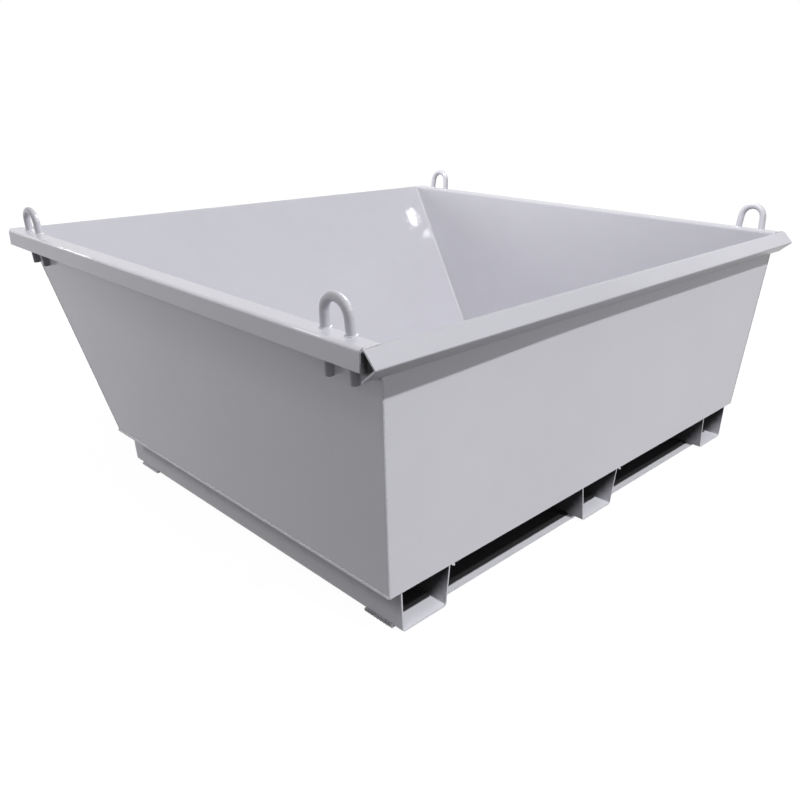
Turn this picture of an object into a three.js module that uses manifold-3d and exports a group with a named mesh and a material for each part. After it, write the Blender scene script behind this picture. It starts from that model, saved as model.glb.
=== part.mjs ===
// Construction waste hopper: a welded sheet steel tub with a sloped back wall, folded rims,
// four lifting eyes, and a base of three open channels tied by two flat bars.
// Millimetres, +Z up. The upright front wall faces -Y and the sloped back wall faces +Y.
import * as THREE from 'three';
import { mergeVertices } from 'three/addons/utils/BufferGeometryUtils.js';
import Module from 'manifold-3d';

const wasm = await Module();
wasm.setup();

// Driving dimensions of the tub
const rimWidth = 2000; // over the outer faces of the two side lips
const rimDepth = 1762; // from the front wall's outer face at the rim to the back lip's outer face
const tubHeight = 632; // from the floor's underside to the rim's top
const sheet = 4; // steel sheet of the floor and walls
const bendRadius = 5; // inside radius of every press-brake bend
const sideRimWidth = 53.5; // from a side lip's outer face to the side wall's outer face
const lipDrop = 50; // height of the turned-down lips
const floorSideInset = 111; // from a side lip's outer face to the side wall's foot
const frontInset = 29; // how far the front wall's foot stands back from its top
const floorDepth = 1309; // between the feet of the front and back walls
const floorLedge = 3; // how far the floor sheet stands out past the walls that stand on it
const cornerCutWidth = 13; // back corners of the side rims, cut off across the rim
const cornerCutDepth = 15; // and along it

// Front rim, folded out and down, then back to the wall
const noseReach = 38; // from the front wall's face at the rim to a round fold's foremost line
const noseDrop = 33.7; // from the rim's top to the centre of the fold's lower bend
const noseSharpening = 4; // how much tighter than the other bends the fold's lower bend is
const returnAngle = THREE.MathUtils.degToRad(41.6); // fall of the return towards the wall, below level
const returnClearance = 3; // from the return's free edge to the front wall

// Base
const barThickness = 6;
const barWidth = 100;
const barOverhang = 1; // how far a bar's end stands out past the outer channel
const barEndInset = 35; // from a channel's end to the nearer edge of the bar
const channelHeight = 120;
const channelEndInset = 4.5; // from a channel's ends to the feet of the front and back walls
const channelFootWidth = 155; // across the flat bottom, over the bends
const channelSheet = 4;
const outerChannelInset = 125.5; // from the side wall's foot to the centre of an outer channel
const outerChannelSplay = 9; // how far each side of an outer channel leans out at the top
const middleChannelSplay = 20;

// Lifting eyes
const eyeRod = 22; // diameter of the round bar
const eyeBendRadius = 38; // centreline radius of the round top
const eyeLegDrop = 105; // from the rim's top to the legs' lower ends
const eyeLegStraight = 8; // from the rim's top to where the legs start to lean together
const eyeSplay = THREE.MathUtils.degToRad(4); // how far the legs lean together above that
const eyeHoleClearance = 0.5; // radial play of a leg in its hole through the rim
const frontLeftEyeInset = 115; // from the front wall's outer face at the rim to the eye's middle
const frontRightEyeInset = 98;
const backLeftEyeInset = 125; // from the back lip's outer face to the eye's middle
const backRightEyeInset = 154;
const frontLeftEyeRise = 85; // from the rim's top to the top of the eye
const frontRightEyeRise = 92;
const backLeftEyeRise = 82;
const backRightEyeRise = 88;

// Weld beads and clearances
const weldClearance = 0.3; // between a bead and a slanted or curved face that it is welded to
const fitClearance = 0.3; // between sheets that meet on a slanted plane
const cornerWeldCrown = 1; // how far an outer corner bead stands proud of the walls
const insideWeldLeg = 7; // along each wall, inside a corner
const floorWeldRise = 4;
const eyeWeldLeg = 4;
const rimWeldCrown = 1.2;
const channelWeldLeg = 5;
const cutOverrun = 40; // how far a cutting solid runs past what it cuts

// How round shapes are divided
const bendSteps = 6;
const eyeSides = 10;
const eyeSteps = 44;
const weldSteps = 5;
const ringSteps = 20;

// Levels and faces that follow from the driving dimensions
const outerBend = bendRadius + sheet;
const floorBottom = barThickness + channelHeight;
const floorTop = floorBottom + sheet;
const rimTop = floorBottom + tubHeight;
const bendLevel = rimTop - outerBend; // centres of the rim's upper bends
const sideSlope = (floorSideInset - sideRimWidth) / tubHeight;
const frontSlope = frontInset / tubHeight;
const sideStretch = Math.hypot(1, sideSlope); // level thickness of a leaning sheet, over its true one
const frontStretch = Math.hypot(1, frontSlope);

// Half width over the side walls' outer and inner faces at a level
const halfOuter = (z) => rimWidth / 2 - sideRimWidth - (rimTop - z) * sideSlope;
const halfInner = (z) => halfOuter(z) - sheet * sideStretch;

// Front wall's outer and inner faces at a level
const frontOuter = (z) => (rimTop - z) * frontSlope;
const frontInner = (z) => frontOuter(z) + sheet * frontStretch;

// The back wall's outer face runs from its foot to a line tangent to the rim's bend
const backFoot = frontInset + floorDepth;
const backBendY = rimDepth - outerBend;
const backRun = Math.hypot(backBendY - backFoot, bendLevel - floorBottom);
const backLean = Math.atan2(backBendY - backFoot, bendLevel - floorBottom) - Math.asin(bendRadius / backRun);
const backSlope = Math.tan(backLean);
const backStretch = Math.hypot(1, backSlope);
const backOuter = (z) => backFoot + (z - floorBottom) * backSlope;
const backInner = (z) => backOuter(z) - sheet * backStretch;

// Base places
const channelFront = frontInset + channelEndInset;
const channelBack = backFoot - channelEndInset;
const outerChannelX = rimWidth / 2 - floorSideInset - outerChannelInset;
const barCentres = [
  channelFront + barEndInset + barWidth / 2,
  channelBack - barEndInset - barWidth / 2,
];
const eyeOffset = halfOuter(rimTop) + (eyeRod / 2 + weldClearance) * sideStretch; // at the rim's top
const eyeLean = Math.atan(sideSlope); // the eyes lie along the side walls
const stripFront = frontInner(bendLevel) + fitClearance; // where the side rims start behind the front rim

// Finishes: one satin light grey paint, a little brighter over the beads
const paint = { color: 0xc6c6cd, roughness: 0.42, metalness: 0.0 };
const weldPaint = { color: 0xcacad1, roughness: 0.36, metalness: 0.0 };

const hopper = new THREE.Group();

function addPart(name, geometry, finish = paint) {
  const mesh = new THREE.Mesh(geometry, new THREE.MeshStandardMaterial(finish));
  mesh.name = name;
  hopper.add(mesh);
}

// Closed mesh to solid and back, for cuts and joins
function toSolid(geometry) {
  const bare = geometry.clone();
  bare.deleteAttribute('normal');
  bare.deleteAttribute('uv');
  const merged = mergeVertices(bare);
  return new wasm.Manifold(new wasm.Mesh({
    numProp: 3,
    vertProperties: Float32Array.from(merged.attributes.position.array),
    triVerts: Uint32Array.from(merged.index.array),
  }));
}

function toGeometry(solid) {
  const mesh = solid.getMesh();
  const geometry = new THREE.BufferGeometry();
  geometry.setAttribute('position', new THREE.BufferAttribute(mesh.vertProperties, 3));
  geometry.setIndex(new THREE.BufferAttribute(mesh.triVerts, 1));
  geometry.computeVertexNormals();
  return geometry;
}

function cut(geometry, ...tools) {
  let solid = toSolid(geometry);
  for (const tool of tools) {
    solid = solid.subtract(toSolid(tool));
  }
  return toGeometry(solid);
}

// One edge of a bent sheet: the core line runs through the centres of the bends, and this edge
// runs at one distance to its right, round each bend. It starts level and ends level or square.
// Each bend may be made tighter than that distance while the flats beside it stay where they are.
function sheetEdge(core, distance, squareEnd, sharpening) {
  const points = [];
  const headings = core.slice(1).map((point, i) => point.clone().sub(core[i]).normalize());
  const rightOf = (heading) => new THREE.Vector2(heading.y, -heading.x);
  const squared = (end, heading) => rightOf(heading).multiplyScalar(distance).add(end);
  const levelled = (end, heading) => {
    const point = squared(end, heading);
    return point.addScaledVector(heading, (end.y - point.y) / heading.y);
  };
  points.push(levelled(core[0], headings[0]));
  for (let i = 1; i < core.length - 1; i += 1) {
    const start = Math.atan2(-headings[i - 1].x, headings[i - 1].y);
    let end = Math.atan2(-headings[i].x, headings[i].y);
    if (end < start) {
      end += 2 * Math.PI;
    }
    const tighter = sharpening[i] ?? 0;
    const before = rightOf(headings[i - 1]);
    const shift = rightOf(headings[i]).add(before).divideScalar(1 + before.dot(rightOf(headings[i])));
    const centre = core[i].clone().addScaledVector(shift, tighter);
    for (let step = 0; step <= bendSteps; step += 1) {
      const angle = THREE.MathUtils.lerp(start, end, step / bendSteps);
      const spoke = new THREE.Vector2(Math.cos(angle), Math.sin(angle));
      points.push(spoke.multiplyScalar(distance - tighter).add(centre));
    }
  }
  const finish = squareEnd ? squared : levelled;
  points.push(finish(core[core.length - 1], headings[headings.length - 1]));
  return points;
}

// Outline of a bent sheet whose bends all turn left along its core line
function sheetShape(core, thickness, insideRadius, squareEnd = false, sharpening = []) {
  const outer = sheetEdge(core, insideRadius + thickness, squareEnd, sharpening);
  const inner = sheetEdge(core, insideRadius, squareEnd, sharpening);
  return new THREE.Shape([...outer, ...inner.reverse()]);
}

// An outline drawn in the plane across X, with Y to the right, run along X
function alongX(shape, fromX, toX) {
  const geometry = new THREE.ExtrudeGeometry(shape, { depth: toX - fromX, bevelEnabled: false });
  const axes = new THREE.Matrix4().makeBasis(
    new THREE.Vector3(0, 1, 0),
    new THREE.Vector3(0, 0, 1),
    new THREE.Vector3(1, 0, 0),
  );
  return geometry.applyMatrix4(axes).translate(fromX, 0, 0);
}

// An outline drawn in the plane across Y, with X to the right, run along Y
function alongY(shape, fromY, toY) {
  const geometry = new THREE.ExtrudeGeometry(shape, { depth: toY - fromY, bevelEnabled: false });
  return geometry.rotateX(Math.PI / 2).translate(0, toY, 0);
}

// An outline drawn in plan at the lower level, run upwards while it leans along X and Y
function leaningPrism(shape, fromZ, toZ, leanX, leanY) {
  const geometry = new THREE.ExtrudeGeometry(shape, { depth: toZ - fromZ, bevelEnabled: false });
  const lean = new THREE.Matrix4().set(1, 0, leanX, 0, 0, 1, leanY, 0, 0, 0, 1, 0, 0, 0, 0, 1);
  return geometry.applyMatrix4(lean).translate(0, 0, fromZ);
}

function rectangle(x0, x1, y0, y1) {
  return new THREE.Shape([
    new THREE.Vector2(Math.min(x0, x1), Math.min(y0, y1)),
    new THREE.Vector2(Math.max(x0, x1), Math.min(y0, y1)),
    new THREE.Vector2(Math.max(x0, x1), Math.max(y0, y1)),
    new THREE.Vector2(Math.min(x0, x1), Math.max(y0, y1)),
  ]);
}

// A plain box that leans, used for trimming one sheet to the plane of its neighbour
function leaningBox(x, y, z, leanX, leanY) {
  return leaningPrism(rectangle(x[0], x[1], y[0], y[1]), z[0], z[1], leanX, leanY);
}

function mirrored(geometry) {
  const copy = geometry.clone();
  const position = copy.attributes.position;
  for (let i = 0; i < position.count; i += 1) {
    position.setX(i, -position.getX(i));
  }
  if (copy.index) {
    for (let i = 0; i < copy.index.count; i += 3) {
      const first = copy.index.getX(i);
      copy.index.setX(i, copy.index.getX(i + 1));
      copy.index.setX(i + 1, first);
    }
    copy.computeVertexNormals();
    return copy;
  }
  return mirrorLoose(copy);
}

// Triangles without an index are turned over by swapping two of their corners
function mirrorLoose(geometry) {
  const position = geometry.attributes.position;
  for (let i = 0; i < position.count; i += 3) {
    const corner = new THREE.Vector3().fromBufferAttribute(position, i);
    position.setXYZ(i, position.getX(i + 1), position.getY(i + 1), position.getZ(i + 1));
    position.setXYZ(i + 1, corner.x, corner.y, corner.z);
  }
  geometry.computeVertexNormals();
  return geometry;
}

// Core line of the left side wall with its rim and lip, drawn across Y
const leftCore = [
  new THREE.Vector2(-halfOuter(floorTop) - bendRadius * sideStretch, floorTop),
  new THREE.Vector2(-halfOuter(bendLevel) - bendRadius * sideStretch, bendLevel),
  new THREE.Vector2(-rimWidth / 2 + outerBend, bendLevel),
  new THREE.Vector2(-rimWidth / 2 + outerBend, rimTop - lipDrop),
];

// Core line of the front wall with its folded rim, drawn across X
const frontBendY = frontOuter(bendLevel) - bendRadius * frontStretch;
const noseBend = new THREE.Vector2(outerBend - noseReach, rimTop - noseDrop);

// The return heads for the wall and stops short of it by its clearance
function returnEnd() {
  const heading = new THREE.Vector2(Math.cos(returnAngle), -Math.sin(returnAngle));
  const corner = new THREE.Vector2(heading.y, -heading.x).multiplyScalar(bendRadius).add(noseBend);
  const gap = frontOuter(corner.y) - returnClearance - corner.x;
  return noseBend.clone().addScaledVector(heading, gap / (heading.x + heading.y * frontSlope));
}

const frontCore = [
  new THREE.Vector2(frontOuter(floorBottom) - bendRadius * frontStretch, floorBottom),
  new THREE.Vector2(frontBendY, bendLevel),
  noseBend,
  returnEnd(),
];
const frontSharpening = [0, 0, noseSharpening, 0];
const noseEdge = sheetEdge(frontCore, outerBend, true, frontSharpening);
const foldFront = Math.min(...noseEdge.map((point) => point.x));

// Core line of the back wall with its lip, drawn across X as seen from the other side
const backCore = [
  new THREE.Vector2(-backOuter(floorTop) - bendRadius * backStretch, floorTop),
  new THREE.Vector2(-backBendY, bendLevel),
  new THREE.Vector2(-backBendY, rimTop - lipDrop),
];

// Floor sheet, behind the front wall's foot and standing out under the other walls
function floorSheet() {
  const half = halfOuter(floorTop) + floorLedge;
  const front = frontInner(floorBottom) + fitClearance;
  const back = backOuter(floorTop) + floorLedge;
  const geometry = new THREE.BoxGeometry(2 * half, back - front, sheet);
  return geometry.translate(0, (front + back) / 2, floorBottom + sheet / 2);
}

// Front wall: the folded rim runs the full width, and below it the sheet ends between the side walls
function frontWall() {
  const shape = sheetShape(frontCore, sheet, bendRadius, true, frontSharpening);
  const full = alongX(shape, -rimWidth / 2, rimWidth / 2);
  const low = floorBottom - cutOverrun;
  const rise = [low, bendLevel];
  const depth = [frontOuter(low) - fitClearance, frontOuter(low) + cutOverrun];
  const edge = halfInner(low) - fitClearance;
  const reach = rimWidth / 2 + cutOverrun;
  const right = leaningBox([edge, reach], depth, rise, sideSlope, -frontSlope);
  const left = leaningBox([-reach, -edge], depth, rise, -sideSlope, -frontSlope);
  return cut(full, left, right);
}

// Back wall: one sheet up the slope and down over the lip, between the side walls
function backWall() {
  const reach = rimWidth / 2 - sideRimWidth;
  const shape = sheetShape(backCore, sheet, bendRadius);
  const full = alongX(shape, -reach, reach).rotateZ(Math.PI);
  const low = floorBottom - cutOverrun;
  const rise = [low, rimTop + cutOverrun];
  const depth = [0, rimDepth + cutOverrun];
  const edge = halfInner(low) - fitClearance;
  const right = leaningBox([edge, rimWidth / 2], depth, rise, sideSlope, 0);
  const left = leaningBox([-rimWidth / 2, -edge], depth, rise, -sideSlope, 0);
  return cut(full, left, right);
}

// Places of the lifting eyes: side of the tub, distance from the front and height over the rim
const eyes = [
  { name: 'front_left', side: -1, y: frontLeftEyeInset, rise: frontLeftEyeRise },
  { name: 'front_right', side: 1, y: frontRightEyeInset, rise: frontRightEyeRise },
  { name: 'back_left', side: -1, y: rimDepth - backLeftEyeInset, rise: backLeftEyeRise },
  { name: 'back_right', side: 1, y: rimDepth - backRightEyeInset, rise: backRightEyeRise },
];

// An eye's height from where its legs start to lean up to where its round top starts
function leanHeight(eye) {
  const top = eye.rise - eyeRod / 2 - eyeBendRadius + eyeBendRadius * Math.sin(eyeSplay);
  return top - eyeLegStraight;
}

// How far the straight part of each leg stands from the eye's middle
function legSpread(eye) {
  return eyeBendRadius * Math.cos(eyeSplay) + leanHeight(eye) * Math.tan(eyeSplay);
}

// Something drawn round an upright axis at level zero, moved to where a left-hand leg meets the rim
function alongLeg(geometry, eye, leg) {
  geometry.translate(0, leg * legSpread(eye), 0);
  return geometry.rotateY(-eyeLean).translate(-eyeOffset, eye.y, rimTop);
}

// Round room about both legs of every eye on one side, between two levels counted from the rim's top
function legRooms(side, from, to) {
  const rooms = [];
  for (const eye of eyes.filter((candidate) => candidate.side === side)) {
    for (const leg of [-1, 1]) {
      const radius = eyeRod / 2 + eyeHoleClearance;
      const room = new THREE.CylinderGeometry(radius, radius, to - from, ringSteps);
      room.rotateX(Math.PI / 2).translate(0, 0, (from + to) / 2);
      rooms.push(alongLeg(room, eye, leg));
    }
  }
  return rooms;
}

// Side wall with its rim and lip, drawn for the left and given the holes of one side's eyes
function sideWall(side) {
  const full = alongY(sheetShape(leftCore, sheet, bendRadius), stripFront, rimDepth);
  const low = floorBottom - cutOverrun;
  const rise = [low, bendLevel];
  const across = [-rimWidth / 2 + sideRimWidth / 2, -halfInner(low) + cutOverrun];
  const frontEdge = frontInner(low) + fitClearance;
  const backEdge = backInner(low) - fitClearance;
  const tools = [
    leaningBox(across, [frontEdge - cutOverrun, frontEdge], rise, 0, -frontSlope),
    leaningBox(across, [backEdge, backEdge + rimDepth], rise, 0, backSlope),
    cornerCutter(),
  ];
  tools.push(...legRooms(side, -outerBend, outerBend));
  const wall = cut(full, ...tools);
  return side < 0 ? wall : mirrored(wall);
}

// The outer back corner of a side rim is cut off aslant, through its lip as well
function cornerCutter() {
  const edge = -rimWidth / 2;
  const run = cutOverrun / cornerCutDepth;
  const shape = new THREE.Shape([
    new THREE.Vector2(edge + cornerCutWidth + run * cornerCutWidth, rimDepth + cutOverrun),
    new THREE.Vector2(edge - run * cornerCutWidth, rimDepth + cutOverrun),
    new THREE.Vector2(edge - run * cornerCutWidth, rimDepth - cornerCutDepth - cutOverrun),
  ]);
  return leaningPrism(shape, rimTop - lipDrop - cutOverrun, rimTop + cutOverrun, 0, 0);
}

// Round bar bent to an upside-down U, drawn about the rim's top: a round top, legs that lean
// apart below it, and straight lower ends
class EyeCurve extends THREE.Curve {
  constructor(eye) {
    super();
    this.centre = eye.rise - eyeRod / 2 - eyeBendRadius;
    this.arc = eyeBendRadius * (Math.PI / 2 - eyeSplay);
    this.leaning = leanHeight(eye) / Math.cos(eyeSplay);
    this.half = this.arc + this.leaning + eyeLegStraight + eyeLegDrop;
  }

  getPoint(t, target = new THREE.Vector3()) {
    const along = Math.abs(2 * t - 1) * this.half;
    const angle = Math.min(along, this.arc) / eyeBendRadius;
    const leaning = THREE.MathUtils.clamp(along - this.arc, 0, this.leaning);
    const straight = Math.max(0, along - this.arc - this.leaning);
    return target.set(
      0,
      Math.sign(0.5 - t) * (eyeBendRadius * Math.sin(angle) + leaning * Math.sin(eyeSplay)),
      this.centre + eyeBendRadius * Math.cos(angle) - leaning * Math.cos(eyeSplay) - straight,
    );
  }
}

function liftingEye(eye) {
  const section = new THREE.Shape();
  section.absarc(0, 0, eyeRod / 2, 0, 2 * Math.PI, false);
  const rod = new THREE.ExtrudeGeometry(section, {
    steps: eyeSteps,
    curveSegments: eyeSides,
    extrudePath: new EyeCurve(eye),
  });
  return rod.rotateY(eye.side * eyeLean).translate(eye.side * eyeOffset, eye.y, rimTop);
}

// Bead round one leg where it comes out of the rim, drawn for the left
function eyeWeld(eye, leg) {
  const inner = eyeRod / 2 + weldClearance;
  const bottom = eyeWeldLeg / 2 - outerBend;
  const profile = [
    new THREE.Vector2(inner, bottom),
    new THREE.Vector2(inner + eyeWeldLeg, bottom),
    new THREE.Vector2(inner + eyeWeldLeg, 0),
  ];
  for (let step = 1; step <= weldSteps; step += 1) {
    const angle = (step / weldSteps) * (Math.PI / 2);
    profile.push(new THREE.Vector2(inner + eyeWeldLeg * Math.cos(angle), eyeWeldLeg * Math.sin(angle)));
  }
  profile.push(profile[0].clone());
  const ring = alongLeg(new THREE.LatheGeometry(profile, ringSteps).rotateX(Math.PI / 2), eye, leg);
  const under = sheetShape(leftCore, outerBend + weldClearance, 0);
  const reach = eyeBendRadius + cutOverrun;
  return cut(ring, alongY(under, eye.y - reach, eye.y + reach));
}

// Half width over the sides of a channel at a level
function channelHalf(splay, z) {
  const slope = splay / channelHeight;
  const outer = bendRadius + channelSheet;
  return channelFootWidth / 2 - outer + (z - barThickness - outer) * slope + outer * Math.hypot(1, slope);
}

// Channel of the base: flat foot and two sides that lean out, open at the top and both ends
function channelShape(splay) {
  const outer = bendRadius + channelSheet;
  const bend = barThickness + outer;
  const half = channelFootWidth / 2 - outer;
  const top = channelHalf(splay, floorBottom) - outer * Math.hypot(1, splay / channelHeight);
  const core = [
    new THREE.Vector2(-top, floorBottom),
    new THREE.Vector2(-half, bend),
    new THREE.Vector2(half, bend),
    new THREE.Vector2(top, floorBottom),
  ];
  return sheetShape(core, channelSheet, bendRadius);
}

const channels = [
  { name: 'left', x: -outerChannelX, splay: outerChannelSplay },
  { name: 'middle', x: 0, splay: middleChannelSplay },
  { name: 'right', x: outerChannelX, splay: outerChannelSplay },
];

// Outer corner bead: a rounded fill between two walls that meet edge to edge, clear of the eyes' legs
function outerCornerWeld(side, front) {
  const low = front ? floorBottom : floorTop;
  const inner = front ? frontInner(low) : backInner(low);
  const outer = front ? frontOuter(low) : backOuter(low);
  const out = Math.sign(outer - inner);
  const cornerX = halfInner(low) + weldClearance;
  const cornerY = inner + out * weldClearance;
  const spanX = halfOuter(low) - cornerX + cornerWeldCrown;
  const spanY = Math.abs(outer - cornerY) + cornerWeldCrown;
  const points = [new THREE.Vector2(side * cornerX, cornerY)];
  for (let step = 0; step <= weldSteps; step += 1) {
    const angle = (step / weldSteps) * (Math.PI / 2);
    const x = side * (cornerX + spanX * Math.cos(angle));
    points.push(new THREE.Vector2(x, cornerY + out * spanY * Math.sin(angle)));
  }
  const leanY = front ? -frontSlope : backSlope;
  const bead = leaningPrism(new THREE.Shape(points), low, bendLevel, side * sideSlope, leanY);
  const rooms = legRooms(side, -eyeLegDrop - cutOverrun, 0);
  return cut(bead, ...(side < 0 ? rooms : rooms.map(mirrored)));
}

// Inner corner bead: a hollow fillet between two walls
function innerCornerWeld(side, front) {
  const face = front ? frontInner(floorTop) : backInner(floorTop);
  const inward = front ? 1 : -1;
  const cornerX = halfInner(floorTop) - weldClearance;
  const cornerY = face + inward * weldClearance;
  const legY = front ? insideWeldLeg : insideWeldLeg * backStretch;
  const points = [new THREE.Vector2(side * cornerX, cornerY)];
  for (let step = 0; step <= weldSteps; step += 1) {
    const angle = (step / weldSteps) * (Math.PI / 2);
    const x = side * (cornerX - insideWeldLeg * (1 - Math.sin(angle)));
    points.push(new THREE.Vector2(x, cornerY + inward * legY * (1 - Math.cos(angle))));
  }
  const leanY = front ? -frontSlope : backSlope;
  return leaningPrism(new THREE.Shape(points), floorTop, bendLevel, side * sideSlope, leanY);
}

// Bead on the floor's ledge along the foot of the left wall
function sideFloorWeld() {
  const foot = -halfOuter(floorTop) - weldClearance;
  const top = -halfOuter(floorTop + floorWeldRise) - weldClearance;
  const shape = new THREE.Shape([
    new THREE.Vector2(-halfOuter(floorTop) - floorLedge, floorTop),
    new THREE.Vector2(foot, floorTop),
    new THREE.Vector2(top, floorTop + floorWeldRise),
    new THREE.Vector2(top - floorLedge / 2, floorTop + floorWeldRise * 0.75),
  ]);
  return alongY(shape, frontInner(floorTop) + fitClearance, backInner(floorTop) - fitClearance);
}

// Bead on the floor's ledge along the foot of the back wall
function backFloorWeld() {
  const shape = new THREE.Shape([
    new THREE.Vector2(backOuter(floorTop) + weldClearance * backStretch, floorTop),
    new THREE.Vector2(backOuter(floorTop) + floorLedge, floorTop),
    new THREE.Vector2(backOuter(floorTop + floorLedge) + weldClearance * backStretch, floorTop + floorLedge),
  ]);
  const reach = halfInner(floorTop) - fitClearance;
  return alongX(shape, -reach, reach);
}

// Bead that fills the groove between a side rim's end and the front rim's bend
function rimWeld() {
  const groove = stripFront - weldClearance;
  const round = outerBend + weldClearance;
  const low = Math.acos((groove - frontBendY) / round);
  const points = [];
  for (let step = 0; step <= weldSteps; step += 1) {
    const angle = THREE.MathUtils.lerp(Math.PI / 2, low, step / weldSteps);
    points.push(new THREE.Vector2(
      frontBendY + round * Math.cos(angle),
      bendLevel + round * Math.sin(angle),
    ));
  }
  points.push(new THREE.Vector2(groove, rimTop + weldClearance));
  points.push(new THREE.Vector2((frontBendY + 2 * groove) / 3, rimTop + rimWeldCrown));
  points.push(new THREE.Vector2((2 * frontBendY + groove) / 3, rimTop + rimWeldCrown));
  return alongX(new THREE.Shape(points), -rimWidth / 2 + outerBend, leftCore[1].x);
}

// Bead along the top of one side of a channel, under the floor
function channelWeld(item, side) {
  const edge = item.x + side * (channelHalf(item.splay, floorBottom) + weldClearance);
  const slope = item.splay / channelHeight;
  const shape = new THREE.Shape([
    new THREE.Vector2(edge, floorBottom),
    new THREE.Vector2(edge + side * channelWeldLeg, floorBottom),
    new THREE.Vector2(edge - side * channelWeldLeg * slope, floorBottom - channelWeldLeg),
  ]);
  return alongY(shape, channelFront, channelBack);
}

addPart('floor_sheet', floorSheet());
addPart('front_wall', frontWall());
addPart('back_wall', backWall());
addPart('left_wall', sideWall(-1));
addPart('right_wall', sideWall(1));

for (const eye of eyes) {
  addPart(`${eye.name}_lifting_eye`, liftingEye(eye));
  for (const [leg, legName] of [[-1, 'front_leg'], [1, 'back_leg']]) {
    const bead = eyeWeld(eye, leg);
    addPart(`${eye.name}_eye_${legName}_weld`, eye.side < 0 ? bead : mirrored(bead), weldPaint);
  }
}

for (const item of channels) {
  const run = alongY(channelShape(item.splay), channelFront, channelBack);
  addPart(`${item.name}_channel`, run.translate(item.x, 0, 0));
  addPart(`${item.name}_channel_left_weld`, channelWeld(item, -1), weldPaint);
  addPart(`${item.name}_channel_right_weld`, channelWeld(item, 1), weldPaint);
}

const barLength = 2 * (outerChannelX + channelFootWidth / 2 + barOverhang);
for (const [index, name] of ['front_cross_bar', 'rear_cross_bar'].entries()) {
  const bar = new THREE.BoxGeometry(barLength, barWidth, barThickness);
  addPart(name, bar.translate(0, barCentres[index], barThickness / 2));
}

for (const [side, sideName] of [[-1, 'left'], [1, 'right']]) {
  for (const [front, endName] of [[true, 'front'], [false, 'back']]) {
    addPart(`${endName}_${sideName}_outer_corner_weld`, outerCornerWeld(side, front), weldPaint);
    addPart(`${endName}_${sideName}_inner_corner_weld`, innerCornerWeld(side, front), weldPaint);
  }
  const floorBead = sideFloorWeld();
  addPart(`${sideName}_floor_weld`, side < 0 ? floorBead : mirrored(floorBead), weldPaint);
  const rimBead = rimWeld();
  addPart(`${sideName}_rim_weld`, side < 0 ? rimBead : mirrored(rimBead), weldPaint);
}
addPart('back_floor_weld', backFloorWeld(), weldPaint);

// The origin is the middle of the footprint, on the ground
hopper.position.y = -(foldFront + rimDepth) / 2;

export default hopper;
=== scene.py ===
import math

import bmesh
import bpy
from mathutils import Matrix, Quaternion, Vector


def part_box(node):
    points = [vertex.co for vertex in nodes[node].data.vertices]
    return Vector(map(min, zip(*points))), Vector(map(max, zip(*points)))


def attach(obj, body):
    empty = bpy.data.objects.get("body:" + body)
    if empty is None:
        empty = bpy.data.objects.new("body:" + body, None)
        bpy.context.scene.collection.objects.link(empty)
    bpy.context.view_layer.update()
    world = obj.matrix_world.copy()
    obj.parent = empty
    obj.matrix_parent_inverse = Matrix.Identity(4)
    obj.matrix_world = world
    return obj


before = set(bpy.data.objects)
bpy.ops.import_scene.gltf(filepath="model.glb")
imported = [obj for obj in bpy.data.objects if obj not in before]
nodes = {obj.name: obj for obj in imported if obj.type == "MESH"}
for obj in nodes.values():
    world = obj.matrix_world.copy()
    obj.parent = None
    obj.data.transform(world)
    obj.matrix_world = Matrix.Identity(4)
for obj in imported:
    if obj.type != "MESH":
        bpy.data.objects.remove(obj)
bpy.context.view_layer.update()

scene = bpy.context.scene
scene.view_settings.view_transform = "Standard"

# The camera was fitted to the photo's straight edges. Its lens and sensor are in millimetres.
focal_length = 35.71
sensor_width = 36.0
clip_start = 0.05
camera_place = (-1.94921, -1.91724, 1.21769)
camera_right = (0.71116, -0.70290, 0.01298)
camera_up = (0.25009, 0.27021, 0.92973)

# Places on the part that cards, paints and beads follow
fold_low, fold_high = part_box("front_wall")
rim_top, nose = fold_high.z, fold_low.y
nose_drop = 0.0354
nose_height = rim_top - nose_drop
channel_low, channel_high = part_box("left_channel")
front_end, rear_end = channel_low.y, channel_high.y
base_side = -channel_low.x
bar_low, bar_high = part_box("front_cross_bar")

# Greys of the paint, and of the painted light and painted shade on surfaces that are lighter or darker
paint_grey = (0.562, 0.558, 0.604)
# Painted light: a lighter grey for the base's level faces
base_level_lit_grey = (0.84, 0.84, 0.90)
# Painted shade: a darker grey for the channels' outer sides
base_outer_shade_grey = (0.51, 0.507, 0.55)
bead_grey = (0.60, 0.60, 0.64)
# Painted highlight on the floor beads under the side walls
highlight_bead_grey = (0.74, 0.74, 0.78)
# Painted shade on the beads at the front bar's ends
shaded_bead_grey = (0.26, 0.26, 0.28)
# Deep painted shade under the tub, inside the front fold and behind the lips
deep_shade_grey = 0.034
white = (1.0, 1.0, 1.0, 1.0)


# Nodes of a material or the world
def feed(tree, socket, value):
    """Link another node's output to a socket, or give the socket a plain value."""
    if isinstance(value, bpy.types.NodeSocket):
        tree.links.new(value, socket)
    else:
        socket.default_value = value


def node_of(tree, kind, **values):
    """A node with these inputs and settings."""
    node = tree.nodes.new(kind)
    for key, value in values.items():
        if key in node.inputs:
            feed(tree, node.inputs[key], value)
        else:
            setattr(node, key, value)
    return node


def calculate(tree, operation, *operands, clamp=False):
    node = node_of(tree, "ShaderNodeMath", operation=operation, use_clamp=clamp)
    for socket, operand in zip(node.inputs, operands):
        feed(tree, socket, operand)
    return node.outputs[0]


def map_range(tree, value, first, last, start=0.0, end=1.0, kind="LINEAR"):
    """Runs from start to end while the value runs from first to last."""
    ramp = node_of(tree, "ShaderNodeMapRange", interpolation_type=kind, Value=value)
    for socket, limit in (("From Min", first), ("From Max", last), ("To Min", start), ("To Max", end)):
        ramp.inputs[socket].default_value = limit
    return ramp.outputs["Result"]


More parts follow.
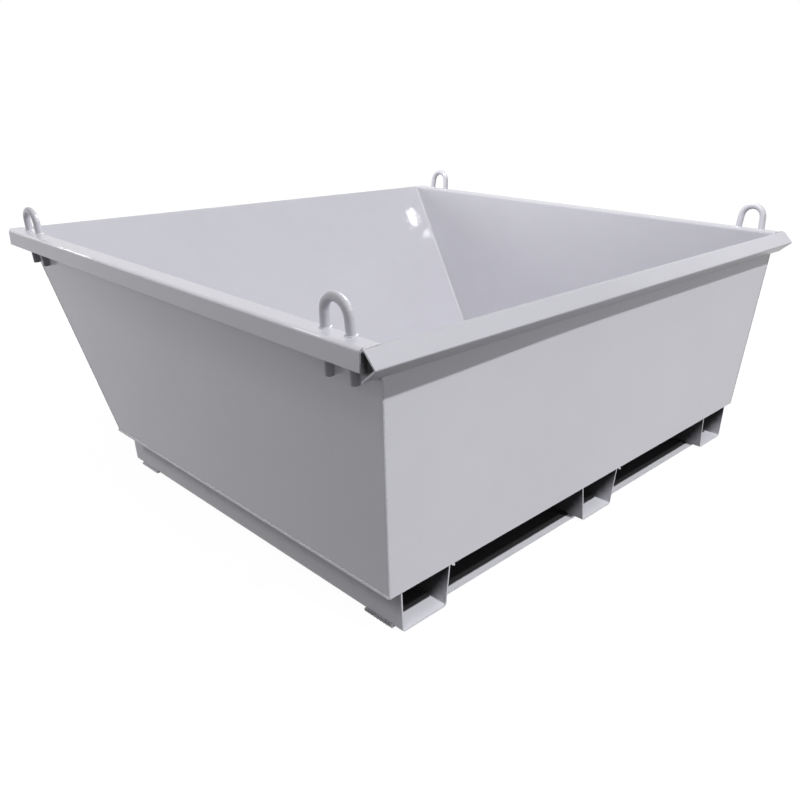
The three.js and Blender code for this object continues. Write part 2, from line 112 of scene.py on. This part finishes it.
def mix(tree, kind, factor, first, second):
    node = node_of(tree, "ShaderNodeMix", data_type=kind)
    for socket, value in (("Factor", factor), ("A", first), ("B", second)):
        feed(tree, node.inputs[socket], value)
    return node.outputs["Result"]


def object_place(tree):
    return node_of(tree, "ShaderNodeTexCoord").outputs["Object"]


def noise(tree, place, scale, detail, roughness):
    node = node_of(tree, "ShaderNodeTexNoise", Vector=place, Scale=scale, Detail=detail, Roughness=roughness)
    return node.outputs["Fac"]


def background_rays(tree):
    """One for rays that should see the plain white background, nothing for rays that light the object."""
    path = node_of(tree, "ShaderNodeLightPath")
    seen = path.outputs["Is Camera Ray"]
    for kind in ("Is Glossy Ray", "Is Transmission Ray"):
        seen = calculate(tree, "MAXIMUM", seen, path.outputs[kind])
    return seen


def light_and_look(tree, output, lighting, look):
    """The output is one shader for the rays that light the object, and another for those that see it."""
    blend = node_of(tree, "ShaderNodeMixShader", Fac=background_rays(tree))
    tree.links.new(lighting.outputs[0], blend.inputs[1])
    tree.links.new(look.outputs[0], blend.inputs[2])
    node_of(tree, output, Surface=blend.outputs[0])


# Camera, lamps and world
def add_camera():
    data = bpy.data.cameras.new("photo_camera")
    data.lens = focal_length
    data.sensor_width = sensor_width
    data.clip_start = clip_start
    camera = bpy.data.objects.new("photo_camera", data)
    right = Vector(camera_right).normalized()
    back = right.cross(Vector(camera_up)).normalized()
    up = back.cross(right)
    turn = Matrix((right, up, back)).transposed().to_4x4()
    turn.translation = camera_place
    camera.matrix_world = turn
    scene.collection.objects.link(camera)
    scene.camera = camera


def add_light(name, kind, travel, power):
    """A light of this kind whose rays travel along a direction."""
    data = bpy.data.lights.new(name, kind)
    data.energy = power
    light = bpy.data.objects.new(name, data)
    light.rotation_mode = "QUATERNION"
    light.rotation_quaternion = Vector(travel).normalized().to_track_quat("-Z", "Y")
    scene.collection.objects.link(light)
    return light


def add_sun(name, travel, strength, angle):
    light = add_light(name, "SUN", travel, strength)
    light.data.angle = math.radians(angle)
    return light


def add_area(name, place, aim, size, power):
    light = add_light(name, "AREA", Vector(aim) - Vector(place), power)
    light.data.shape = "RECTANGLE"
    light.data.size, light.data.size_y = size
    light.location = place
    light.visible_camera = False
    light.visible_glossy = False
    return light


def shade_only(light, blockers):
    """Let only these objects cast a shadow in this light."""
    group = bpy.data.collections.new(light.name + "_blockers")
    for blocker in blockers:
        group.objects.link(blocker)
    light.light_linking.blocker_collection = group


def light_group(light, members, state="INCLUDE"):
    """Let the light fall on these objects only, or on all but these."""
    group = bpy.data.collections.new(light.name + "_receivers")
    for member in members:
        group.objects.link(member)
    for entry in group.collection_objects:
        entry.light_linking.link_state = state
    light.light_linking.receiver_collection = group


def add_glint(name, place, aim, size, power, receivers, roll=0.0):
    """A small lamp that shows only as a highlight in some pieces' gloss. The roll turns its long side."""
    glint = add_area(name, place, aim, size, power)
    glint.rotation_quaternion @= Quaternion((0.0, 0.0, 1.0), math.radians(roll))
    glint.visible_glossy = True
    glint.visible_diffuse = False
    light_group(glint, receivers)
    return glint


def add_world(strength):
    """White where it is seen, and a weak, slightly cool light from all round on the object."""
    world = bpy.data.worlds.new("studio")
    scene.world = world
    world.use_nodes = True
    tree = world.node_tree
    tree.nodes.clear()
    ambient = node_of(tree, "ShaderNodeBackground", Color=(0.97, 0.98, 1.0, 1.0), Strength=strength)
    backdrop = node_of(tree, "ShaderNodeBackground", Color=white, Strength=1.0)
    light_and_look(tree, "ShaderNodeOutputWorld", ambient, backdrop)


# Ground and cards
def level_quad(left, right, front, rear, height):
    return [(left, front, height), (right, front, height), (right, rear, height), (left, rear, height)]


def upright_quad(left, right, bottom, top, depth):
    return [(left, depth, bottom), (right, depth, bottom), (right, depth, top), (left, depth, top)]


def plain_card(name, corners):
    mesh = bpy.data.meshes.new(name)
    mesh.from_pydata(corners, [], [tuple(range(len(corners)))])
    quad = bpy.data.objects.new(name, mesh)
    scene.collection.objects.link(quad)
    material = bpy.data.materials.new(name)
    material.use_nodes = True
    mesh.materials.append(material)
    return quad, material.node_tree


def add_floor():
    """Pale ground that shows as white with a faint shadow, and throws little light back up."""
    reach = 12.0
    drop = 0.0005
    glow_strength = 0.95
    _, tree = plain_card("ground", level_quad(-reach, reach, -reach, reach, -drop))
    tree.nodes.clear()
    matt = node_of(tree, "ShaderNodeBsdfDiffuse", Color=(0.10, 0.10, 0.103, 1.0))
    glow = node_of(tree, "ShaderNodeEmission", Color=white, Strength=glow_strength)
    shown = node_of(tree, "ShaderNodeAddShader")
    tree.links.new(matt.outputs[0], shown.inputs[0])
    tree.links.new(glow.outputs[0], shown.inputs[1])
    light_and_look(tree, "ShaderNodeOutputMaterial", matt, shown)


def shade_base():
    """Lay a dark patch as painted shade on the ground under the base, and keep the light from behind out with a
    card, which is returned.
    """
    patch_drop = 0.0002
    gap_behind = 0.02
    gap_above = 0.001
    rear_bar_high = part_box("rear_cross_bar")[1]
    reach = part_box("right_channel")[0].x
    patch = level_quad(-reach, reach, bar_low.y, rear_bar_high.y, -patch_drop)
    # The near-black patch is painted shade
    _, tree = plain_card("painted_shade_under_base", patch)
    shader = tree.nodes["Principled BSDF"]
    shader.inputs["Base Color"].default_value = (0.045, 0.045, 0.047, 1.0)
    shader.inputs["Roughness"].default_value = 0.95
    shader.inputs["Specular IOR Level"].default_value = 0.1
    top = channel_high.z - gap_above
    card, tree = plain_card("shade_behind_base", upright_quad(
        bar_low.x, rear_bar_high.x, 0.0, top, rear_end + gap_behind))
    tree.nodes["Principled BSDF"].inputs["Base Color"].default_value = (0.02, 0.02, 0.02, 1.0)
    card.visible_camera = False
    return card


def add_card(name, corners, ends=None):
    """A studio card that only shades. It is opaque, or lets a share of the light through that runs along X
    between two ends, each a place and a share."""
    card, tree = plain_card(name, corners)
    tree.nodes.clear()
    clear = node_of(tree, "ShaderNodeBsdfTransparent", Color=(0.0, 0.0, 0.0, 1.0))
    node_of(tree, "ShaderNodeOutputMaterial", Surface=clear.outputs[0])
    if ends:
        (first, start), (last, end) = ends
        split = node_of(tree, "ShaderNodeSeparateXYZ", Vector=object_place(tree))
        feed(tree, clear.inputs["Color"], map_range(tree, split.outputs["X"], first, last, start, end))
    card.visible_camera = False
    card.visible_diffuse = False
    card.visible_glossy = False
    card.visible_transmission = False
    return card


def add_fold_scrim(travel):
    """A grey card over the front fold, moved from it against the sun's rays."""
    gap = 0.06
    fold_depth = 0.038
    dark_end, light_end = (-0.2, 0.585), (0.6, 0.91)
    step = -Vector(travel).normalized() * gap
    low_edge, high_edge = (nose, nose_height), (nose + fold_depth, rim_top)
    left, right = fold_low.x, fold_high.x
    corners = [(left, *low_edge), (right, *low_edge), (right, *high_edge), (left, *high_edge)]
    return add_card("fold_scrim", [Vector(corner) + step for corner in corners], (dark_end, light_end))


def add_nose_card():
    """An opaque card at the fold's nose that deepens the fold's shadow towards the left.
    Its outline is x and the way behind the nose."""
    outline = [(-0.30, 0.001), (-0.49, -0.002), (-0.77, -0.006), (-1.0, -0.008), (-1.0, 0.001)]
    return add_card("nose_card", [(x, nose + behind, nose_height) for x, behind in outline])


def add_strip_cards():
    """Two cards close in front of the strip under the fold, the first one deeper at the left.
    Its lower edge is x and the way below the rim's top."""
    past_rim = 0.02
    strip_gap = 0.024
    hem_gap = 0.026
    hem_bottom = rim_top - 0.072
    light_end, dark_end = (-0.3, 0.32), (0.9, 0.20)
    reach = fold_high.x + past_rim
    lower_edge = [(-reach, 0.126), (-0.77, 0.122), (-0.49, 0.115), (-0.15, 0.108), (reach, 0.110)]
    strip = [(x, rim_top - below) for x, below in lower_edge] + [(reach, nose_height), (-reach, nose_height)]
    strip_flag = add_card("strip_flag", [(x, nose - strip_gap, z) for x, z in strip], (light_end, dark_end))
    hem_flag = add_card("hem_flag", upright_quad(-reach, reach, hem_bottom, nose_height, nose - hem_gap))
    return [strip_flag, hem_flag]


# Materials
def ramp(axis, origin, start, end, lean=0.0):
    """Rises along an axis between two distances from a place, and leans by so much for each metre of height."""
    return axis, origin + start, origin + end, lean


def end_ramps(start, end, lean=0.0):
    """Ramps that rise inwards from the front and rear ends of the channels."""
    return [ramp("Y", front_end, start, end, lean), ramp("Y", rear_end, -start, -end, -lean)]


def fade_mask(tree, place, ramps, unevenness):
    """One where all ramps have risen, nothing elsewhere, over an edge that is uneven except across X."""
    split = node_of(tree, "ShaderNodeSeparateXYZ", Vector=place)
    uneven = noise(tree, place, scale=60.0, detail=3.0, roughness=0.6)
    mask = None
    for axis, start, end, lean in ramps:
        along = split.outputs[axis]
        if lean:
            along = calculate(tree, "MULTIPLY_ADD", split.outputs["Z"], lean, along)
        if axis != "X":
            along = calculate(tree, "MULTIPLY_ADD", uneven, unevenness, along)
        risen = map_range(tree, along, start, end, kind="SMOOTHSTEP")
        mask = risen if mask is None else calculate(tree, "MINIMUM", mask, risen)
    return mask


def paint_material(name, base=paint_grey, roughness=0.34, grain=0.12, dent=0.25, fade=None, unevenness=0.0,
                   shade_grey=deep_shade_grey, coat=0.22, coat_rough=0.09, peel_scale=420.0):
    """Sprayed light grey gloss over sheet steel: slow tone drift, orange peel and shallow dents.
    Where it fades, a dull darker grey is painted in as shade."""
    tone_shares = (0.93, 1.06)
    cloud_share, drift_share = 0.35, 0.65
    smoother, rougher = 0.06, 0.08
    shade_blue_share = 1.06
    peel_height, dent_height = 0.0004, 0.004
    specular = 0.35 if coat else 0.15
    material = bpy.data.materials.new(name)
    material.use_nodes = True
    tree = material.node_tree
    place = object_place(tree)

    drift = noise(tree, place, scale=2.3, detail=3.0, roughness=0.55)
    cloud = noise(tree, place, scale=14.0, detail=4.0, roughness=0.6)
    clouds = calculate(tree, "MULTIPLY", cloud, cloud_share)
    drifts = calculate(tree, "MULTIPLY", drift, drift_share)
    dim, bright = ([channel * share for channel in base] + [1.0] for share in tone_shares)
    colour = mix(tree, "RGBA", calculate(tree, "ADD", clouds, drifts, clamp=True), dim, bright)
    rough = map_range(tree, cloud, 0.0, 1.0, roughness - smoother, roughness + rougher)
    if fade:
        mask = fade_mask(tree, place, fade, unevenness)
        # Painted shade: where the mask has risen, the colour turns to the shade grey
        colour = mix(tree, "RGBA", mask, colour, (shade_grey, shade_grey, shade_grey * shade_blue_share, 1.0))
        rough = mix(tree, "FLOAT", mask, rough, 1.0)

    peel = noise(tree, place, scale=peel_scale, detail=2.0, roughness=0.5)
    fine = node_of(tree, "ShaderNodeBump", Height=peel, Strength=grain, Distance=peel_height).outputs[0]
    wave = noise(tree, place, scale=5.0, detail=1.0, roughness=0.4)
    broad = node_of(
        tree, "ShaderNodeBump", Height=wave, Strength=dent, Distance=dent_height, Normal=fine).outputs[0]
    looks = {"Base Color": colour, "Roughness": rough, "Normal": broad, "Specular IOR Level": specular}
    if coat:
        looks |= {"Coat Weight": coat, "Coat Roughness": coat_rough, "Coat Normal": fine}
    shader = tree.nodes["Principled BSDF"]
    for socket, value in looks.items():
        feed(tree, shader.inputs[socket], value)
    return material


def weld_material(name, base, axis):
    """The same paint over a bead with small lumps, and with ripples along an axis where one is given."""
    ripple_height = 0.0010
    material = paint_material(name, base, roughness=0.30, grain=0.1, dent=0.05, coat=0.6, coat_rough=0.05)
    tree = material.node_tree
    place = object_place(tree)
    height = noise(tree, place, scale=150.0, detail=2.0, roughness=0.6)
    if axis:
        ripple = node_of(tree, "ShaderNodeTexWave", Vector=place, Scale=80.0, Distortion=3.0, Detail=1.0,
                         bands_direction=axis)
        height = calculate(tree, "ADD", ripple.outputs["Fac"], height)
    bump = node_of(tree, "ShaderNodeBump", Height=height, Strength=1.0, Distance=ripple_height).outputs[0]
    shader = tree.nodes["Principled BSDF"]
    for socket in ("Normal", "Coat Normal"):
        feed(tree, shader.inputs[socket], bump)
    return material


# Studio
add_camera()
add_world(strength=0.25)
add_floor()
rear_card = shade_base()
solids = [node for name, node in nodes.items() if "eye" not in name]
eyes = [node for name, node in nodes.items() if "eye" in name]

# The sun comes through a grey card over the fold. The eyes throw no shadow on the rim.
key_travel = (0.0, 0.62, -1.0)
scrim = add_fold_scrim(key_travel)
nose_card = add_nose_card()
key = add_sun("key", key_travel, strength=1.82, angle=2.0)
shade_only(key, solids + [scrim, nose_card])

# The front fill is kept off the strip under the fold
strip_cards = add_strip_cards()
front_fill = add_area(
    "front_fill", place=(-0.9, -5.0, 0.5), aim=(-0.1, 0.0, 0.45), size=(4.0, 0.3), power=75.0)
shade_only(front_fill, list(nodes.values()) + strip_cards + [rear_card])
for light in (key, front_fill):
    light_group(light, eyes, "EXCLUDE")

# The eyes are lit from over the tub, those of each side by a sun of their own
for hand, travel, strength in (("left", (-0.50, 0.60, -0.51), 2.3), ("right", (0.50, 0.15, -0.85), 3.2)):
    eye_light = add_sun(hand + "_eye_light", travel, strength, angle=20.0)
    light_group(eye_light, [node for name, node in nodes.items() if "eye" in name and hand in name])
    shade_only(eye_light, list(nodes.values()))

# Soft lamps: over the middle, inside for the right wall, and from the left and the back for the left wall
top_fill = add_area("top_fill", place=(0.9, 0.0, 4.0), aim=(0.3, 0.0, 0.0), size=(2.5, 2.5), power=20.0)
shade_only(top_fill, solids + [scrim])
inside_fill = add_area(
    "inside_fill", place=(-0.75, 0.25, 1.9), aim=(1.0, 0.25, 1.8), size=(0.4, 1.4), power=20.5)
light_group(inside_fill, [nodes["back_wall"]] + eyes, "EXCLUDE")
left_top_fill = add_area(
    "left_top_fill", place=(-2.3, -1.5, 3.4), aim=(-1.0, -0.6, 0.6), size=(0.8, 0.8), power=18.0)
back_fill = add_area("back_fill", place=(-3.0, 4.0, 1.5), aim=(-0.9, 0.8, 0.5), size=(2.0, 1.5), power=73.0)
for light in (inside_fill, left_top_fill, back_fill):
    shade_only(light, solids)

# Small lamps that show in the gloss: on the back wall near its right corner and along the left rim's bend
back_sheet, left_sheet = [nodes["back_wall"]], [nodes["left_wall"]]
glints = [
    add_glint("wall_glint", place=(3.33, -0.66, 2.65), aim=(0.834, 0.80, 0.625),
              size=(0.14, 0.045), power=1.4, receivers=back_sheet, roll=65.0),
    add_glint("wall_glint_low", place=(3.63, -0.87, 2.65), aim=(0.887, 0.747, 0.545),
              size=(0.09, 0.03), power=0.32, receivers=back_sheet, roll=80.0),
    add_glint("rim_glint", place=(-1.9, 2.93, 1.46), aim=(-1.0, 0.41, 0.757),
              size=(0.5, 0.18), power=1.7, receivers=left_sheet, roll=127.0),
    add_glint("near_rim_glint", place=(-2.17, 1.06, 1.69), aim=(-1.0, -0.69, 0.757),
              size=(0.6, 0.16), power=1.5, receivers=left_sheet, roll=121.0)]
for glint in glints:
    shade_only(glint, [rear_card])

# And on the beads at the eyes' legs and the rims, down the back right inner corner, and on the eyes
rim_beads = [node for name, node in nodes.items() if name.endswith(("leg_weld", "rim_weld"))]
add_glint("bead_glint", place=(-1.2, -2.4, 2.0), aim=(0.3, 0.3, 0.7),
          size=(0.35, 0.35), power=12.0, receivers=rim_beads)
add_glint("corner_glint", place=(-2.6, 0.77, 2.4), aim=(0.93, 0.77, 0.6),
          size=(0.3, 0.3), power=32.0, receivers=[nodes["back_right_inner_corner_weld"]])
add_glint("eye_glint", place=(1.3, 0.0, 2.07), aim=(-0.5, -0.4, 0.8),
          size=(0.3, 0.3), power=130.0, receivers=eyes)

# Where each paint fades into painted shade: inwards under the tub, up under the floor's ledge, up inside the
# fold and behind the lips, and down the eyes' legs
level_shade_fade = end_ramps(start=0.050, end=0.056) + [
    ramp("X", -base_side, start=0.0130, end=0.0140), ramp("X", base_side, start=-0.0130, end=-0.0140)]
side_shade_fade = end_ramps(start=0.030, end=0.080, lean=0.60)
outer_shade_fade = [
    ramp("Z", channel_high.z, start=-0.081, end=-0.006),
    ramp("Y", front_end, start=0.0, end=0.025), ramp("Y", rear_end, start=-0.030, end=-0.090)]
fold_shade_fade = [ramp("Z", rim_top, start=-0.069, end=-0.066)]
hollow_shade_fade = [ramp("Z", rim_top, start=-0.084, end=-0.066), ramp("Y", nose, start=0.1159, end=0.0959)]
leg_shade_fade = [ramp("Z", rim_top, start=-0.043, end=-0.058)]
# Greys of the painted shade on the channels' outer sides and down the eyes' legs
outer_shade_grey = 0.32
front_leg_shade_grey, back_leg_shade_grey = 0.45, 0.24

paint = paint_material("paint")
# Painted light on the base's level faces, and painted shade on them inwards under the tub
level_light_and_shade_paint = paint_material(
    "base_level_painted_light_and_shade", base_level_lit_grey, roughness=0.40, fade=level_shade_fade, unevenness=0.002, coat=0.0)
# Painted shade on the channels' outer sides, darker still up under the floor's ledge
outer_shade_paint = paint_material(
    "base_outer_shade_paint", base_outer_shade_grey, fade=outer_shade_fade, unevenness=0.020, shade_grey=outer_shade_grey)
# Painted shade on the inner sides of the channels and bars, inwards from their ends
side_shade_paint = paint_material("base_side_shade_paint", roughness=0.40, fade=side_shade_fade, unevenness=0.012, coat=0.0)
# Painted shade inside the front fold
fold_shade_paint = paint_material("fold_inside_shade", fade=fold_shade_fade)
# Painted shade in the hollow behind the front end of each side lip
side_wall_shade_paint = paint_material("side_wall_shade_paint", fade=hollow_shade_fade, unevenness=0.01)
back_wall_paint = paint_material(
    "back_wall_paint", roughness=0.36, grain=0.6, coat=0.30, coat_rough=0.02, peel_scale=50.0)
# Painted shade down the eyes' legs under the rims, lighter at the front eyes than at the back
eye_shade_paints = {
    end: paint_material(end + "_eye_paint", roughness=0.30, grain=0.20, dent=0.1, fade=leg_shade_fade,
                        unevenness=0.004, shade_grey=leg_shade_grey, coat=0.35, coat_rough=0.06)
    for end, leg_shade_grey in (("front", front_leg_shade_grey), ("back", back_leg_shade_grey))}
bend_paint = paint_material("bend_paint", grain=0.5, coat=1.0, coat_rough=0.03, peel_scale=60.0)
round_bead = weld_material("weld_paint_round", bead_grey, None)
beads = {axis: weld_material("weld_paint_" + axis.lower(), bead_grey, axis) for axis in ("X", "Y", "Z")}
highlight_bead = weld_material("weld_painted_highlight", highlight_bead_grey, "Y")
shaded_bead = weld_material("weld_painted_shade", shaded_bead_grey, "Y")


# Dressing of the CAD pieces
def bead_paint(name):
    """The paint of a bead, with its ripples across the direction that it runs in."""
    # The floor beads carry a painted highlight
    if name in ("left_floor_weld", "right_floor_weld"):
        return highlight_bead
    if "corner" in name:
        return beads["Z"]
    if "rim" in name or name.startswith("back_floor"):
        return beads["X"]
    return round_bead if "leg" in name else beads["Y"]


def dress(node, *paints):
    """Give a piece its paints, smooth over its bends and keep its edges sharp."""
    sharp_angle = math.radians(32.0)
    mesh = node.data
    mesh.materials.clear()
    for material in paints:
        mesh.materials.append(material)
    mesh.shade_smooth()
    mesh.set_sharp_from_angle(angle=sharp_angle)


def soften(node):
    """Round off the cut edges of a sheet or a bar."""
    bevel = node.modifiers.new("edge", "BEVEL")
    bevel.width = 0.0007
    bevel.segments = 2
    bevel.limit_method = "ANGLE"
    bevel.angle_limit = math.radians(40.0)
    bevel.harden_normals = True


def dress_base(node):
    """Channels and bars: their level faces get painted light and, like their inner sides, fade into painted
    shade inwards, under the tub; the channels' outer sides get painted shade under the floor's ledge.
    """
    facing = 0.5
    outer_band = 0.012
    paints = [paint, level_light_and_shade_paint, side_shade_paint, outer_shade_paint]
    dress(node, *paints)
    for face in node.data.polygons:
        place = node.matrix_world @ face.center
        outside = abs(place.x) > base_side - outer_band and face.normal.x * place.x > 0.0
        if face.normal.z > facing:
            face.material_index = paints.index(level_light_and_shade_paint)
        elif abs(face.normal.x) > facing and not outside:
            face.material_index = paints.index(side_shade_paint)
        elif outside and node.name.endswith("channel"):
            face.material_index = paints.index(outer_shade_paint)


def dress_front(node):
    """Shade is painted inside the front wall's folded rim: the fold's faces that look back are painted dark,
    and the wall's own face darkens upwards behind them."""
    upright, facing, half_facing = 0.9, 0.5, 0.4
    large = 0.5
    nearest, furthest = nose + 0.002, nose + 0.045
    lowest, highest = rim_top - 0.068, rim_top - 0.006
    paints = [paint, fold_shade_paint]
    dress(node, *paints)
    for face in node.data.polygons:
        place = node.matrix_world @ face.center
        within = nearest < place.y < furthest and lowest < place.z < highest
        wall_face = face.normal.y < -upright and face.area > large
        slope = face.normal.y > facing and face.normal.z < -facing
        ledge = face.normal.z > half_facing and face.normal.y > half_facing
        if wall_face or (within and (slope or ledge)):
            face.material_index = paints.index(fold_shade_paint)


def dress_side(node):
    """A side wall gets painted shade up behind the front end of its lip, and its rim's outer bend is glossier.
    """
    large = 0.2
    tilt = 0.15
    bend_bottom = rim_top - 0.058
    paints = [paint, side_wall_shade_paint, bend_paint]
    dress(node, *paints)
    for face in node.data.polygons:
        place = node.matrix_world @ face.center
        outward = face.normal.x * place.x
        if face.area > large and outward > 0.0 and place.z < bend_bottom:
            face.material_index = paints.index(side_wall_shade_paint)
        elif place.z > bend_bottom and face.normal.z > tilt and outward > tilt:
            face.material_index = paints.index(bend_paint)


for name, node in nodes.items():
    if name.endswith("weld"):
        dress(node, bead_paint(name))
    elif name.endswith(("channel", "bar")):
        dress_base(node)
    elif name == "front_wall":
        dress_front(node)
    elif name.endswith("eye"):
        dress(node, eye_shade_paints[name.split("_")[0]])
    elif name == "back_wall":
        dress(node, back_wall_paint)
    elif name.endswith("wall"):
        dress_side(node)
    else:
        dress(node, paint)
    if name.endswith(("wall", "sheet", "channel", "bar")):
        soften(node)


# Small beads that only the scene has
def ring_of(mesh, centre, thick, turn):
    """The vertices of one ring of a bead, square to its run."""
    sides = 10
    ring = []
    for corner in range(sides):
        angle = 2.0 * math.pi * corner / sides
        offset = Vector((math.cos(angle), math.sin(angle), 0.0)) * thick
        offset.rotate(turn)
        ring.append(mesh.verts.new(centre + offset))
    return ring


def lumpy_bead(name, start, end, radius, material):
    """A hand-laid bead from one point to another: a rod of uneven thickness with round ends."""
    fewest_rings = 6
    ring_gap_share = 0.6
    thinnest_share = 0.15
    lump_share, lump_pace = 0.22, 2.1
    ripple_share, ripple_pace, ripple_start = 0.12, 5.3, 1.0
    start, end = Vector(start), Vector(end)
    along = end - start
    turn = along.to_track_quat("Z", "Y")
    rings = max(fewest_rings, int(along.length / (radius * ring_gap_share)))
    mesh = bmesh.new()
    loops = []
    for step in range(rings + 1):
        share = step / rings
        from_end = min(share, 1.0 - share) * along.length / radius
        end_round = math.sqrt(1.0 - max(0.0, 1.0 - from_end) ** 2)
        lump = lump_share * math.sin(step * lump_pace)
        ripple = ripple_share * math.sin(step * ripple_pace + ripple_start)
        thick = radius * max(thinnest_share, end_round) * (1.0 + lump + ripple)
        loops.append(ring_of(mesh, start + along * share, thick, turn))
    for first, second in zip(loops, loops[1:]):
        for corner in range(len(first)):
            following = (corner + 1) % len(first)
            mesh.faces.new((first[corner], first[following], second[following], second[corner]))
    mesh.faces.new(tuple(reversed(loops[0])))
    mesh.faces.new(tuple(loops[-1]))
    data = bpy.data.meshes.new(name)
    mesh.to_mesh(data)
    mesh.free()
    data.shade_smooth()
    data.materials.append(material)
    piece = bpy.data.objects.new(name, data)
    scene.collection.objects.link(piece)
    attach(piece, "root")


# Beads along the ends of the front bar, painted dark as shade
bar_bead_radius = 0.0030
bar_bead_out = 0.0012
bar_bead_inset = 0.004
bar_bead_height = bar_high.z - 0.0008
for hand, row in (("left", bar_low.x - bar_bead_out), ("right", bar_high.x + bar_bead_out)):
    lumpy_bead(f"front_bar_{hand}_end_bead", (row, bar_low.y + bar_bead_inset, bar_bead_height),
               (row, bar_high.y - bar_bead_inset, bar_bead_height), bar_bead_radius, shaded_bead)

# Beads at the front ends of the side rims, placed from the front rim's right corner and mirrored to the left
rim_bead_radius = 0.0026
rim_corner = Vector((fold_high.x, nose, rim_top))
rim_bead_start = rim_corner + Vector((-0.004, 0.0384, -0.0008))
rim_bead_end = rim_corner + Vector((-0.048, 0.0409, -0.0004))
for hand, side in (("left", Vector((-1.0, 1.0, 1.0))), ("right", Vector((1.0, 1.0, 1.0)))):
    start, end = rim_bead_start * side, rim_bead_end * side
    lumpy_bead(hand + "_rim_corner_bead", start, end, rim_bead_radius, round_bead)

# Tack welds at the front ends of two channels, under the floor sheet
tack_radius = 0.0030
tack_start = Vector((0.003, -0.003, -0.003))
tack_end = Vector((0.013, -0.003, -0.006))
for channel in ("left", "middle"):
    low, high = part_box(channel + "_channel")
    corner = Vector((high.x, low.y, high.z))
    lumpy_bead(channel + "_channel_tack", corner + tack_start, corner + tack_end, tack_radius, beads["Y"])
